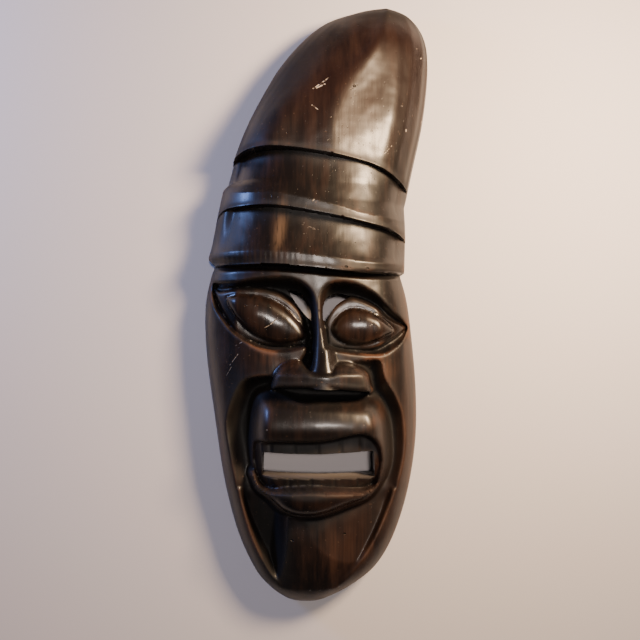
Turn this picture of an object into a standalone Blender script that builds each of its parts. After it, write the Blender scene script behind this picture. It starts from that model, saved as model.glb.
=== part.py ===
"""A tall carved wooden mask that lies on its hollow back, face up.

X runs across the face, Y up towards the crown of the hat, Z out of the face. The origin
lies on the back plane, under the middle of the mask. The carving is a height above the
back plane, worked out at the points of a grid whose points slide onto the cut lines, so
that every lip, lid and tooth keeps a crisp edge. Places in the carving are shares of the
mask's height: one share is MASK_HEIGHT / 585.2.
"""

import bpy
import numpy as np

for old in list(bpy.data.objects):
    bpy.data.objects.remove(old, do_unlink=True)

# Driving sizes, in metres
MASK_HEIGHT = 0.600
RIM_HEIGHT = 0.012
FOREHEAD_HEIGHT = 0.067
CROWN_HEIGHT = 0.078
NOSE_HEIGHT = 0.089
LIP_HEIGHT = 0.083
CHIN_HEIGHT = 0.056
EYE_HEIGHT = 0.061
LID_HEIGHT = 0.051
SOCKET_HEIGHT = 0.039
CHANNEL_HEIGHT = 0.043
BAND_DEPTH = 0.012
BRIM_UNDERCUT = 0.009
TEETH_DEPTH = 0.016
GROOVE_WIDTH = 0.005
GROOVE_DEPTH = 0.0028
HOLLOW_DEPTH = 0.041
HOLLOW_RIM = 0.018
HOLLOW_LENGTH = 0.338
MOUTH_SLOT_WIDTH = 0.1085
MOUTH_SLOT_HEIGHT = 0.0252

# Spacing of the grid, and the share of its facets that the solid keeps
CELL = 0.0024
KEPT_SHARE = 0.15

SHARE = MASK_HEIGHT / 585.2


def plan(*points):
    """Places on the face, given in shares of the height, as metres."""
    return np.array(points, float) * SHARE


def smooth(points, steps=6):
    """A Catmull-Rom curve through the points."""
    padded = np.vstack([2 * points[0] - points[1], points, 2 * points[-1] - points[-2]])
    t = np.linspace(0.0, 1.0, steps, endpoint=False)[:, None]
    parts = []
    for a, b, c, d in zip(padded, padded[1:], padded[2:], padded[3:]):
        bend = (2 * a - 5 * b + 4 * c - d) * t**2 + (3 * b - a - 3 * c + d) * t**3
        parts.append(0.5 * (2 * b + (c - a) * t + bend))
    return np.vstack(parts + [points[-1:]])


def ring(*curves):
    """One closed line made of curves that follow each other."""
    return np.vstack(curves)


def closest(x, y, line, closed):
    """Distance to a line, the nearest place on it, and whether a ring holds the point."""
    best = np.full(x.shape, np.inf)
    near_x = x.copy()
    near_y = y.copy()
    inside = np.zeros(x.shape, bool)
    ends = np.roll(line, -1, axis=0) if closed else line[1:]
    for (ax, ay), (bx, by) in zip(line, ends):
        dx = bx - ax
        dy = by - ay
        length = dx * dx + dy * dy
        if length < 1e-16:
            continue
        t = np.clip(((x - ax) * dx + (y - ay) * dy) / length, 0.0, 1.0)
        qx = ax + t * dx
        qy = ay + t * dy
        gap = np.hypot(x - qx, y - qy)
        closer = gap < best
        best = np.where(closer, gap, best)
        near_x = np.where(closer, qx, near_x)
        near_y = np.where(closer, qy, near_y)
        if closed and ay != by:
            crosses = (ay > y) != (by > y)
            inside ^= crosses & (x < ax + (bx - ax) * (y - ay) / (by - ay))
    return best, near_x, near_y, inside


def depth_in(x, y, line):
    """Signed distance to a ring: positive inside it, negative outside."""
    gap, _, _, inside = closest(x, y, line, True)
    return np.where(inside | (gap < 1e-7), gap, -gap)


def raise_to(z, depth, top, slope):
    """Stand a form on the ground z, with a steep wall round it."""
    return np.where(depth >= 0, top, np.maximum(z, top + depth * slope))


def cut_to(z, depth, floor, slope):
    """Sink a floor into z inside a ring, with a steep wall round it."""
    return np.where(depth <= 0, z, np.maximum(np.minimum(floor, z), z - depth * slope))


def swell(depth, reach):
    """A round swelling: 0 at the edge, 1 where the depth reaches its crown."""
    t = 1.0 - np.clip(depth / reach, 0.0, 1.0)
    return np.sqrt(1.0 - t * t)


def groove(gap):
    """How deep a cut line is at a distance from its middle."""
    return GROOVE_DEPTH * np.clip(1.0 - gap / (GROOVE_WIDTH / 2), 0.0, 1.0)


def blend(t):
    """Smooth step from 0 to 1."""
    t = np.clip(t, 0.0, 1.0)
    return t * t * (3 - 2 * t)


def curve(*points):
    """A smooth line through places on the face."""
    return smooth(plan(*points))


# Outline of the mask, from the crown down both sides
CROWN_LEFT = curve(
    (63, 306.3), (47, 304.4), (27, 299), (-6, 284), (-40, 248), (-65, 203), (-82, 162), (-91, 131)
)
CROWN_RIGHT = curve(
    (73, 304.9), (90, 296), (103, 276), (107, 248), (102, 197), (91, 145), (86, 121), (83.3, 110)
)
BAND_LEFT = curve((-96, 126), (-102, 98), (-107, 72), (-110, 60), (-107, 55))
BAND_RIGHT = curve((83.5, 106), (84.2, 92), (84.5, 77), (84, 60), (83.5, 46))
FACE_LEFT = curve(
    (-104, 53), (-109, 37), (-113.5, 10), (-112, -35), (-104, -95), (-95, -155), (-82, -206), (-65, -244),
    (-50, -262), (-36, -272.5), (-24, -277.5)
)
FACE_RIGHT = curve(
    (79, 44), (86, 18), (91, -20), (95, -70), (94.5, -118), (87, -167), (74, -209), (58, -238), (38, -256),
    (18, -268), (2, -275), (-10, -278)
)

# Edges of the hat, each from the left to the right, and the strip where the bands stop
CONE_EDGE = curve(
    (-89, 145), (-82, 153), (-67, 158), (-40, 158.8), (-5, 154.3), (48, 144.2), (76, 131), (90, 119)
)
BAND_RIDGE = curve(
    (-98, 122), (-63, 117), (-40, 116), (-5, 109), (22, 101.8), (39, 97), (67, 94.6), (86, 94.2)
)
BAND_EDGE = curve(
    (-103, 94), (-94, 103), (-80, 105.3), (-40, 104.7), (5, 97.2), (57, 87), (73, 82), (86, 75)
)
BRIM_RIDGE = curve((-109, 63), (-66, 63), (-36, 62.5), (-11, 59.8), (22, 55.3), (48, 52.5), (86, 52.2))
BRIM_EDGE = curve((-110, 52), (-80, 51.7), (-45, 51.1), (-11, 48.8), (22, 45.3), (48, 44), (86, 45))
SIDE_STRIP = curve((-83, 151), (-88, 124), (-93, 98), (-98, 72), (-99, 58))

# Sockets, lids and eyes
BROW_LEFT = curve(
    (-103, 36), (-78, 35), (-60, 37.8), (-38, 39.2), (-22, 36.8), (-12, 30.5), (-6, 20), (-3.8, -4),
    (-5, -36), (-7, -46)
)
SOCKET_LEFT = curve((-12.5, -24), (-32, -28), (-54, -26), (-79, -12.5), (-97, 7), (-103, 20), (-104.5, 31))
SOCKET_NOTCH = plan((-12, -46), (-18.5, -38.5), (-13.5, -31))
BROW_RIGHT = curve(
    (85, -6), (67, 9.7), (51, 24.6), (34, 33), (18, 35.2), (7, 32), (1.6, 23), (0.5, 8), (5.5, -25)
)
SOCKET_RIGHT = curve((8.4, -25), (18, -28.5), (37, -31.3), (56, -32.5), (68, -28.3), (79, -20), (85, -9))
LID_LEFT = curve(
    (-104, 33), (-97, 27), (-80, 28.3), (-62, 29), (-45, 26.5), (-31, 19), (-19, 6.4), (-11.3, -15)
)
LOWER_LID_LEFT = curve((-13, -22.5), (-32, -24.5), (-56, -22), (-78, -11.6), (-92, 8), (-101, 25))
EYE_LEFT = ring(
    curve((-89, 21), (-74.5, 23.3), (-53, 21), (-33.3, 11.6), (-19.4, -2.3), (-14, -12.4)),
    curve((-14.7, -17.9), (-33.3, -22.1), (-45.8, -20.6), (-57.5, -15.6), (-68.3, -8.6), (-86.2, 13.2)),
)
LID_RIGHT = curve((84, -7), (66, 1), (52, 12), (36, 19.3), (26, 19.8), (15, 13.5), (8, 4.5), (5, -3))
LOWER_LID_RIGHT = curve((7.7, -23), (18, -26.2), (34, -28), (52, -26.2), (68, -18.2), (81, -10))
EYE_RIGHT = ring(
    curve((10.9, -7.7), (15.5, 0.8), (23.3, 7.7), (30, 10.1), (38.8, 9.3), (48.2, 6.2), (59, 0), (68, -7)),
    curve((71, -10.5), (60.5, -15.6), (45, -22.1), (34.2, -23.7), (24, -22.5), (16, -17.9), (11.6, -12.4)),
)

# Nose, muzzle, mouth and cheeks
BRIDGE = ring(
    curve((-7, 18), (-4, 0), (-4, -14), (-5, -30), (-6.8, -44), (-8, -51), (-14, -61.2)),
    curve((19, -62.8), (13.5, -53), (10.5, -46), (8.6, -36), (6.2, -20), (3.4, -4), (2.2, 18)),
)
WING_LEFT = curve((-42.4, -61.3), (-40.5, -50), (-34, -40.5), (-24.5, -37.6), (-15, -40.5), (-7, -47))
WING_RIGHT = curve((11, -48), (14, -42), (23, -40), (34, -43.5), (41.5, -50), (45.5, -64.5))
NOSE_FOOT = curve((45.5, -65.5), (24, -63.2), (2.7, -61.6), (-18, -61.3), (-42.4, -61.9))
NOSE_SHADOW = curve((-43, -63.5), (-33, -71), (-18, -76.6), (3, -77), (24, -76.3), (38, -74.6), (46, -67))
CHEEK_LEFT = curve(
    (-40, -52), (-60, -52.5), (-75, -61.3), (-88.5, -94), (-85, -129), (-73, -182), (-58, -222), (-38, -258)
)
CHEEK_RIGHT = curve(
    (16, -258), (45, -221), (68, -172), (79.5, -128), (79, -94), (72, -73), (61, -55), (57, -39), (50, -36)
)
MUZZLE_LEFT = curve(
    (-50, -171), (-61, -158), (-65.5, -125), (-65.5, -88), (-62, -70), (-52, -62.5), (-42, -61)
)
MUZZLE_RIGHT = curve((46, -66.5), (57, -75), (63.5, -91), (66.2, -114), (66, -138), (60, -155), (44, -169))
MUZZLE_FOOT = curve((24, -176), (2, -183), (-18, -185), (-36, -180))
LIP_EDGE = curve(
    (-64, -131), (-61, -113.5), (-44, -110.5), (-10, -110.4), (8, -108.6), (34, -103.2), (47, -106.5),
    (55, -117), (57.6, -131)
)
LOWER_LIP_TOP = curve(
    (55, -145), (51.5, -153.3), (42, -156), (17, -153.5), (-8, -152.2), (-31, -153.6), (-48, -156),
    (-58, -152.5), (-61.5, -145)
)
LOWER_LIP_FOOT = curve(
    (-64, -146), (-58, -158), (-47, -165), (-33, -176), (-17, -180), (2, -178), (24, -170.5), (44, -163.5),
    (59, -146)
)
UPPER_TEETH = plan((-46, 0), (-23.6, 0), (-2.2, 0), (19.4, 0), (38.5, 0))[:, 0]
LOWER_TEETH = plan((-48, 0), (-28.8, 0), (-8.3, 0), (13.6, 0), (34.8, 0), (48.3, 0))[:, 0]
MOUTH_MIDDLE = plan((-1.8, -133.4))[0]
EYE_SLOT_LEFT = ring(
    curve((-31.5, 29), (-24, 28.3), (-15, 22.2), (-9.4, 12), (-8, -1)),
    curve((-12, 2.2), (-18.7, 9.9), (-26, 20)),
)
EYE_SLOT_RIGHT = ring(
    curve((29, 22.4), (22, 25), (14, 25), (7, 21.5), (3, 13), (2.8, 1), (5, -1.2)),
    curve((10.1, 6.9), (15.9, 14.1), (21.8, 18.5)),
)
HOLLOW_MIDDLE = plan((-8, -101))[0]

RINGS = {
    "socket_left": ring(BROW_LEFT, SOCKET_NOTCH, SOCKET_LEFT),
    "socket_right": ring(BROW_RIGHT, SOCKET_RIGHT),
    "lids_left": ring(LID_LEFT, LOWER_LID_LEFT),
    "lids_right": ring(LID_RIGHT, LOWER_LID_RIGHT),
    "eye_left": EYE_LEFT,
    "eye_right": EYE_RIGHT,
    "bridge": BRIDGE,
    "nose": ring(WING_LEFT, WING_RIGHT, NOSE_FOOT),
    "nose_shadow": ring(NOSE_FOOT, NOSE_SHADOW),
    "cheeks": ring(CHEEK_LEFT, CHEEK_RIGHT),
    "muzzle": ring(MUZZLE_LEFT, MUZZLE_RIGHT, MUZZLE_FOOT),
    "mouth": ring(LIP_EDGE, LOWER_LIP_TOP),
    "lower_lip": ring(LOWER_LIP_TOP[::-1], LOWER_LIP_FOOT[::-1]),
}
HAT_EDGES = (CONE_EDGE, BAND_RIDGE, BAND_EDGE, BRIM_RIDGE, BRIM_EDGE)
LEFT_SIDE = np.vstack([CROWN_LEFT, BAND_LEFT, FACE_LEFT])
RIGHT_SIDE = np.vstack([CROWN_RIGHT, BAND_RIGHT, FACE_RIGHT])
OUTLINE = np.vstack([LEFT_SIDE, RIGHT_SIDE])
MIDDLE = (OUTLINE.min(axis=0) + OUTLINE.max(axis=0)) / 2


def outline_grid():
    """Rows of points from the left outline to the right one, crown to chin."""
    parts = ((CROWN_LEFT, CROWN_RIGHT), (BAND_LEFT, BAND_RIGHT), (FACE_LEFT, FACE_RIGHT))
    left_rows = []
    right_rows = []
    for left, right in parts:
        count = int(np.ceil(np.linalg.norm(np.diff(left, axis=0), axis=1).sum() / CELL))
        for line, rows in ((left, left_rows), (right, right_rows)):
            walk = np.append(0.0, np.cumsum(np.linalg.norm(np.diff(line, axis=0), axis=1)))
            places = np.linspace(0.0, walk[-1], count)
            rows.append(np.column_stack([np.interp(places, walk, line[:, k]) for k in (0, 1)]))
    left_rows = np.vstack(left_rows)
    right_rows = np.vstack(right_rows)
    columns = 2 * int(MASK_HEIGHT * 0.19 / CELL)
    t = np.linspace(-1.0, 1.0, columns + 1)
    across = t * (1.22 - 0.22 * t * t)
    weight = (across[None, :] + 1) / 2
    x = left_rows[:, :1] * (1 - weight) + right_rows[:, :1] * weight
    y = left_rows[:, 1:] * (1 - weight) + right_rows[:, 1:] * weight
    return x, y


def slide_to_lines(x, y):
    """Move each inner point that is within half a cell of a cut line onto it."""
    free = np.ones(x.shape, bool)
    free[:, 0] = free[:, -1] = free[0] = free[-1] = False
    open_lines = [(line, False) for line in HAT_EDGES + (SIDE_STRIP,)]
    for line, closed in open_lines + [(line, True) for line in RINGS.values()]:
        gap, near_x, near_y, _ = closest(x, y, line, closed)
        moved = free & (gap < 0.56 * CELL)
        x = np.where(moved, near_x, x)
        y = np.where(moved, near_y, y)
        free &= ~moved
    return x, y


def across_share(x, y):
    """-1 at the left outline, 0 in the middle, 1 at the right outline."""
    low = np.interp(-y, -LEFT_SIDE[:, 1], LEFT_SIDE[:, 0])
    high = np.interp(-y, -RIGHT_SIDE[:, 1], RIGHT_SIDE[:, 0])
    return np.clip((2 * x - low - high) / np.maximum(high - low, SHARE), -1.0, 1.0)


def along(y, *knots):
    """A smooth value along the mask, through (place in shares, value) pairs."""
    line = smooth(np.array([(place * SHARE, value) for place, value in knots]))
    return np.interp(y, line[:, 0], line[:, 1])


def crest_height(y):
    """The block's height along its middle, before the features are carved."""
    chin = [(-285, 0.3), (-270, 0.56), (-250, 0.82), (-215, 1.0), (-180, 1.05)]
    face = [(-120, 1.03), (-40, 1.0), (50, 1.0)]
    crown = [(152, 1.0), (215, 0.92), (260, 0.79), (290, 0.56), (300, 0.42), (307, 0.26)]
    knots = [(place, share * CHIN_HEIGHT) for place, share in chin]
    knots += [(place, share * FOREHEAD_HEIGHT) for place, share in face]
    knots += [(place, share * CROWN_HEIGHT) for place, share in crown]
    return along(y, *knots)


def carve_field(x, y, body, depth):
    """The scooped field between the cheeks, and the chin with its keel and steep left side."""
    inward = np.maximum(depth["cheeks"], 0.0)
    reach = np.clip(inward + np.maximum(-depth["muzzle"], 0.0), SHARE, 15 * SHARE)
    outer = np.maximum(np.abs(x) - 42 * SHARE, 0.0)
    floor = np.minimum(CHANNEL_HEIGHT - 0.26 * outer, body - 0.009)
    channel = body - (body - floor) * (1 - (1 - np.clip(inward / reach, 0.0, 1.0)) ** 1.8)
    keel = x + 28.5 * SHARE
    left_floor = np.clip(0.68 * CHIN_HEIGHT - 0.2 * (-160 * SHARE - y), 0.46 * CHIN_HEIGHT, CHIN_HEIGHT)
    left = np.maximum(CHIN_HEIGHT + 1.5 * np.minimum(keel, 0.0), left_floor)
    right = CHIN_HEIGHT * (1 - 0.34 * np.clip(keel / (88 * SHARE), 0.0, 1.0) ** 1.6)
    chin = np.minimum(np.where(keel < 0, left, right), body - 0.003)
    field = channel + (chin - channel) * blend((-150 * SHARE - y) / (24 * SHARE))
    held = blend(inward / (5 * SHARE)) * blend((y + 266 * SHARE) / (30 * SHARE))
    upper = np.where(inward > 0, field, body)
    return np.where(y < -160 * SHARE, body + (field - body) * held, upper)


def carve_mouth(z, x, y, depth):
    """The muzzle with bevelled sides, the teeth set back between the lips, and the lower lip."""
    aside = np.clip(np.abs(x - MOUTH_MIDDLE[0]) / (64 * SHARE), 0.0, 1.2)
    levels = [(-190, 0.55), (-172, 0.68), (-152, 0.84), (-112, 0.96), (-98, 1.0), (-84, 0.95)]
    levels += [(-72, 0.84), (-58, 0.74)]
    muzzle = LIP_HEIGHT * (along(y, *levels) - 0.09 * aside**2)
    side = LIP_HEIGHT * along(y, (-190, 0.3), (-160, 0.42), (-130, 0.54), (-58, 0.54))
    bevel = np.clip(depth["muzzle"] / (15 * SHARE), 0.0, 1.0)
    muzzle = side + (muzzle - side) * (1 - (1 - bevel) ** 1.5)
    z = raise_to(z, depth["muzzle"], np.maximum(muzzle, z), 3.0)

    above = y > MOUTH_MIDDLE[1]
    teeth = LIP_HEIGHT - TEETH_DEPTH - 0.003 - 0.07 * LIP_HEIGHT * aside**2
    from_lip = np.clip(depth["mouth"] / (11 * SHARE), 0.0, 1.0)
    teeth = np.where(above, teeth, teeth + 0.005 * from_lip)
    z = cut_to(z, depth["mouth"], np.minimum(teeth, z - 0.008), 5.0)
    for dividers, row in ((UPPER_TEETH, above), (LOWER_TEETH, ~above)):
        for place in dividers:
            z = np.where((depth["mouth"] > 0) & row, z - groove(np.abs(x - place)), z)
    roundness = swell(depth["lower_lip"], 12 * SHARE)
    lip = LIP_HEIGHT * (0.97 - 0.2 * aside**2 - 0.16 * (1 - roundness))
    return raise_to(z, depth["lower_lip"], lip, 3.0)


def carve_nose(z, x, y, depth):
    """The ridge of the nose, its bevelled wings, and the wedge cut in below them."""
    levels = [(-64, 1.0), (-45, 0.95), (-25, 0.87), (0, 0.79), (18, 0.75)]
    bridge = along(y, *[(place, share * NOSE_HEIGHT) for place, share in levels])
    bridge = bridge - (x - 3 * SHARE) ** 2 / (27 * SHARE)
    foot_gap = closest(x, y, NOSE_SHADOW, False)[0]
    undercut = np.minimum(z, 0.85 * LIP_HEIGHT) - 2.4 * foot_gap
    below = depth["nose_shadow"] > 1e-7
    z = np.where(depth["nose_shadow"] > 0, np.maximum(undercut, 0.56 * LIP_HEIGHT), z)
    aside = np.clip(np.abs(x - 3 * SHARE) / (44 * SHARE), 0.0, 1.0)
    wings = NOSE_HEIGHT * (0.985 - 0.1 * aside**1.6 - 0.05 * (1 - swell(depth["nose"], 4 * SHARE)))
    wings = wings - 1.1 * np.maximum(y + 49.5 * SHARE, 0.0)
    z = np.where(below, z, raise_to(z, depth["nose"], np.maximum(wings, z), 5.0))
    beside = np.where(below, z, np.maximum(z, bridge + depth["bridge"] * 1.6))
    return np.where(depth["bridge"] >= 0, np.maximum(bridge, z), beside)


def carve_eyes(z, x, y, body, depth):
    """Each socket is scooped under the brow; a pair of lids stands in it round a domed eye."""
    ovals = (("left", (-52, 1.5), (43, 20), -0.5), ("right", (40, -7), (33, 18), -0.08))
    for side, centre, radii, turn in ovals:
        socket = depth["socket_" + side]
        lids = depth["lids_" + side]
        eye = depth["eye_" + side]
        beyond = np.clip(socket + np.maximum(-lids, 0.0), SHARE, 12 * SHARE)
        floor = np.minimum(SOCKET_HEIGHT, body - 0.012)
        scoop = 1 - (1 - np.clip(socket / beyond, 0.0, 1.0)) ** 2.6
        z = np.where(socket > 0, z - (z - floor) * scoop, z)
        rim = np.minimum(LID_HEIGHT, body - 0.005)
        z = np.where(socket > 0, raise_to(z, lids, rim, 4.0), z)
        dx = x - centre[0] * SHARE
        dy = y - centre[1] * SHARE
        u = (dx * np.cos(turn) + dy * np.sin(turn)) / (radii[0] * SHARE)
        v = (dy * np.cos(turn) - dx * np.sin(turn)) / (radii[1] * SHARE)
        bowl = np.clip(1 - u * u - v * v, 0.0, 1.0)
        dome = (EYE_HEIGHT - LID_HEIGHT) * (0.45 * swell(eye, 8 * SHARE) + 0.55 * bowl)
        z = np.where((lids > 0) & (eye > 0), rim - 0.001 + dome, z)
    return z


def cone_planes(y, across):
    """The cone's cross-section: a steep left plane, a narrow one, a broad one, a steep right one."""
    first = along(y, (150, -0.6), (183, -0.54), (203, -0.42), (239, -0.06), (262, 0.1), (308, 0.15))
    second = along(y, (150, 0.08), (190, -0.02), (220, 0.04), (248, 0.19), (275, 0.27), (308, 0.3))
    third = along(y, (150, 0.62), (200, 0.6), (239, 0.56), (308, 0.55))
    in_left = (across + 1) / (first + 1)
    in_right = (1 - across) / (1 - third)
    left = np.interp(in_left, (0, 0.05, 0.16, 0.4, 0.75, 1), (0, 0.34, 0.55, 0.74, 0.89, 0.94))
    right = np.interp(in_right, (0, 0.08, 0.25, 0.6, 1), (0, 0.3, 0.47, 0.66, 0.8))
    narrow = 0.94 + 0.06 * (across - first) / (second - first)
    broad = 1 - 0.2 * (across - second) / (third - second)
    upper = np.where(across < second, narrow, np.where(across < third, broad, right))
    return np.where(across < first, left, upper)


def carve_hat(z, x, y, across, dome):
    """Two scooped bands under a cone, each ending below in a narrow raised strip."""
    cone, ridge, edge, brim_ridge, brim = [np.interp(x, line[:, 0], line[:, 1]) for line in HAT_EDGES]
    strip_x = np.interp(-y, -SIDE_STRIP[:, 1], SIDE_STRIP[:, 0])
    inner = 0.35 + 0.65 * np.clip((x - strip_x) / (4 * SHARE), 0.0, 1.0)
    inner = inner * np.clip(1.8 * dome, 0.0, 1.0)
    bands = RIM_HEIGHT + (CROWN_HEIGHT - RIM_HEIGHT) * dome
    for top, low_ridge in ((cone, ridge), (edge, brim_ridge)):
        t = np.clip((top - y) / np.maximum(top - low_ridge, SHARE), 0.0, 1.0)
        scoop = (y < top - 1e-7) & (y > low_ridge)
        bands = np.where(scoop, bands - BAND_DEPTH * (1 - t**1.6) * inner, bands)
    z = np.where((y > brim - 1e-7) & (y < cone - 1e-7), bands, z)
    under = np.clip(1 - (brim - y) / (6 * SHARE), 0.0, 1.0) * np.clip(1.2 * dome, 0.0, 1.0)
    z = np.where(y <= brim - 1e-7, z - BRIM_UNDERCUT * under, z)
    planes = cone_planes(y, across)
    return np.where(y >= cone - 1e-7, RIM_HEIGHT + (crest_height(y) - RIM_HEIGHT) * planes, z)


def relief(x, y):
    """Height of the carved front at each point."""
    across = across_share(x, y)
    dome = (1 - np.abs(across) ** 2.6) ** 0.5
    body = RIM_HEIGHT + (crest_height(y) - RIM_HEIGHT) * dome
    depth = {name: depth_in(x, y, line) for name, line in RINGS.items()}
    z = carve_field(x, y, body, depth)
    z = carve_mouth(z, x, y, depth)
    z = carve_nose(z, x, y, depth)
    z = carve_eyes(z, x, y, body, depth)
    z = carve_hat(z, x, y, across, dome)
    return np.maximum(z, RIM_HEIGHT)


def front_mesh():
    """The closed block: carved front, upright rim and flat back."""
    x, y = outline_grid()
    x, y = slide_to_lines(x, y)
    z = relief(x, y)
    rows, columns = x.shape
    front = np.column_stack([x.ravel(), y.ravel(), z.ravel()])
    index = np.arange(rows * columns).reshape(rows, columns)
    around = np.concatenate([index[:, 0], index[-1, 1:], index[-2::-1, -1], index[0, -2:0:-1]])
    back = front[around].copy()
    back[:, 2] = 0.0
    a = index[:-1, :-1]
    b = index[1:, :-1]
    c = index[1:, 1:]
    d = index[:-1, 1:]
    height = z.ravel()
    first = np.abs(height[a] - height[c]) <= np.abs(height[b] - height[d])
    one = np.where(first[..., None], np.stack([a, b, c], -1), np.stack([a, b, d], -1))
    two = np.where(first[..., None], np.stack([a, c, d], -1), np.stack([b, c, d], -1))
    faces = [tuple(int(k) for k in row) for row in np.vstack([one.reshape(-1, 3), two.reshape(-1, 3)])]
    count = len(around)
    base = len(front)
    for k in range(count):
        after = (k + 1) % count
        faces.append((int(around[k]), base + k, base + after, int(around[after])))
    faces.append(tuple(range(base + count - 1, base - 1, -1)))
    mesh = bpy.data.meshes.new("carved_mask")
    mesh.from_pydata(np.vstack([front, back]).tolist(), [], faces)
    mesh.update()
    return mesh


def prism(name, outline):
    """A cutter with upright walls that runs out past the back and the front."""
    low = -0.2 * NOSE_HEIGHT
    high = 1.2 * NOSE_HEIGHT
    count = len(outline)
    points = [(px, py, low) for px, py in outline] + [(px, py, high) for px, py in outline]
    faces = [tuple(range(count - 1, -1, -1)), tuple(range(count, 2 * count))]
    faces += [(k, (k + 1) % count, count + (k + 1) % count, count + k) for k in range(count)]
    return cutter(name, points, faces)


def cutter(name, points, faces):
    """A hidden object that the mask is cut with."""
    mesh = bpy.data.meshes.new(name)
    mesh.from_pydata([tuple(map(float, point)) for point in points], [], faces)
    obj = bpy.data.objects.new(name, mesh)
    bpy.context.collection.objects.link(obj)
    obj.hide_render = True
    obj.display_type = "WIRE"
    return obj


def hollow_cutter():
    """The hollow of the back: a smooth vault that keeps a rim at the outline."""
    rings = 9
    turns = 44
    angles = np.arange(turns) * 2 * np.pi / turns
    points = []
    for step in range(rings + 1):
        t = max(step - 1, 0) / rings
        spread = np.cos(t * np.pi / 2) ** 0.8
        height = HOLLOW_DEPTH * np.sin(t * np.pi / 2) if step else -0.1 * HOLLOW_DEPTH
        away = spread * HOLLOW_LENGTH / 2 * np.sin(angles)
        wide_at = HOLLOW_MIDDLE[1] + 0.8 * away
        low = np.interp(-wide_at, -LEFT_SIDE[:, 1], LEFT_SIDE[:, 0])
        high = np.interp(-wide_at, -RIGHT_SIDE[:, 1], RIGHT_SIDE[:, 0])
        half = (high - low) / 2 - HOLLOW_RIM
        bend = np.sign(np.cos(angles)) * np.abs(np.cos(angles)) ** 0.8
        x = (low + high) / 2 + spread * half * bend
        points += [(px, py, height) for px, py in zip(x, HOLLOW_MIDDLE[1] + away)]
    points.append((HOLLOW_MIDDLE[0], HOLLOW_MIDDLE[1], HOLLOW_DEPTH))
    faces = [tuple(range(turns - 1, -1, -1))]
    for level in range(rings):
        for k in range(turns):
            after = (k + 1) % turns
            row = level * turns
            faces.append((row + k, row + after, row + turns + after, row + turns + k))
    tip = len(points) - 1
    faces += [(rings * turns + k, rings * turns + (k + 1) % turns, tip) for k in range(turns)]
    return cutter("hollow_cutter", points, faces)


def anticlockwise(outline):
    """The same outline, turned so that a prism on it faces outwards."""
    after = np.roll(outline, -1, axis=0)
    area = (outline[:, 0] * after[:, 1] - after[:, 0] * outline[:, 1]).sum()
    return outline if area > 0 else outline[::-1]


def cut(target, tool):
    """Subtract a tool from the mask."""
    tool.parent = target
    modifier = target.modifiers.new(tool.name, "BOOLEAN")
    modifier.operation = "DIFFERENCE"
    modifier.solver = "EXACT"
    modifier.object = tool


def stained_wood():
    """Dark stained wood under a half-gloss lacquer."""
    material = bpy.data.materials.new("dark_stained_wood")
    material.use_nodes = True
    shader = material.node_tree.nodes["Principled BSDF"]
    shader.inputs["Base Color"].default_value = (0.035, 0.018, 0.011, 1.0)
    shader.inputs["Roughness"].default_value = 0.38
    shader.inputs["Metallic"].default_value = 0.0
    return material


def build_mask():
    """Join the carved block, the hollow and the three slots."""
    mask = bpy.data.objects.new("carved_mask", front_mesh())
    bpy.context.collection.objects.link(mask)
    mask.data.materials.append(stained_wood())
    mask.location = (-MIDDLE[0], -MIDDLE[1], 0.0)
    thin = mask.modifiers.new("fewer_facets", "DECIMATE")
    thin.ratio = KEPT_SHARE
    cut(mask, hollow_cutter())
    half = np.array([MOUTH_SLOT_WIDTH, MOUTH_SLOT_HEIGHT]) / 2
    corners = [(-1, -0.9), (0, -1), (1, -0.96), (0.98, 1), (0.5, 0.86), (0, 0.76), (-0.5, 0.78)]
    corners.append((-0.98, 0.9))
    cut(mask, prism("mouth_cutter", MOUTH_MIDDLE + np.array(corners) * half))
    cut(mask, prism("eye_cutter_left", anticlockwise(EYE_SLOT_LEFT[::2])))
    cut(mask, prism("eye_cutter_right", anticlockwise(EYE_SLOT_RIGHT[::2])))
    return mask


build_mask()
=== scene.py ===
"""A tall carved wooden mask with a leaning, banded hat, lying face up on a pale floor."""

import bpy
import numpy as np
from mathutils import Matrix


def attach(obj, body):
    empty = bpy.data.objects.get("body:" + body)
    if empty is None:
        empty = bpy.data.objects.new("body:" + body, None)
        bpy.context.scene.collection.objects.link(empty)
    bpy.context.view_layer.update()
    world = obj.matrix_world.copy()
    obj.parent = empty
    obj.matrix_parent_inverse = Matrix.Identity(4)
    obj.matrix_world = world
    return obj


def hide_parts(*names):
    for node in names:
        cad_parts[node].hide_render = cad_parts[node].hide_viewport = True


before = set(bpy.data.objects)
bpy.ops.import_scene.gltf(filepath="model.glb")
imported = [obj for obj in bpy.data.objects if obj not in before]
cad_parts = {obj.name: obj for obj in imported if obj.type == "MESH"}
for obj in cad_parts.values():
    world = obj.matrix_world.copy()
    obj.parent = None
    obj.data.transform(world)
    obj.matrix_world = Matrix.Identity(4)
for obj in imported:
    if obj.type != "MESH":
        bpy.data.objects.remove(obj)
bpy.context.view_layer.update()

# The carved mask
# One block of hardwood: the outline is sawn, the front is carved in steps with chisels and
# gouges, the back is hollowed, and the mouth and two slots beside the nose are cut through.
# It is stained nearly black, lacquered to a half gloss, and rubbed red-brown where hands meet it.

mask_height = 0.600
share = mask_height / 585.2  # the unit of every place on the face
rim_height = 0.012
forehead_height = 0.067
crown_height = 0.078
nose_height = 0.089
lip_height = 0.083
chin_height = 0.056
eye_height = 0.061
lid_height = 0.051
socket_height = 0.039
channel_height = 0.043
band_depth = 0.012
brim_undercut = 0.009
teeth_depth = 0.016
groove_width = 0.0026
groove_depth = 0.0016


def plan(*points):
    """Places on the face, in shares of the mask's height, times the length of one share."""
    return np.array(points, float) * share


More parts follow.
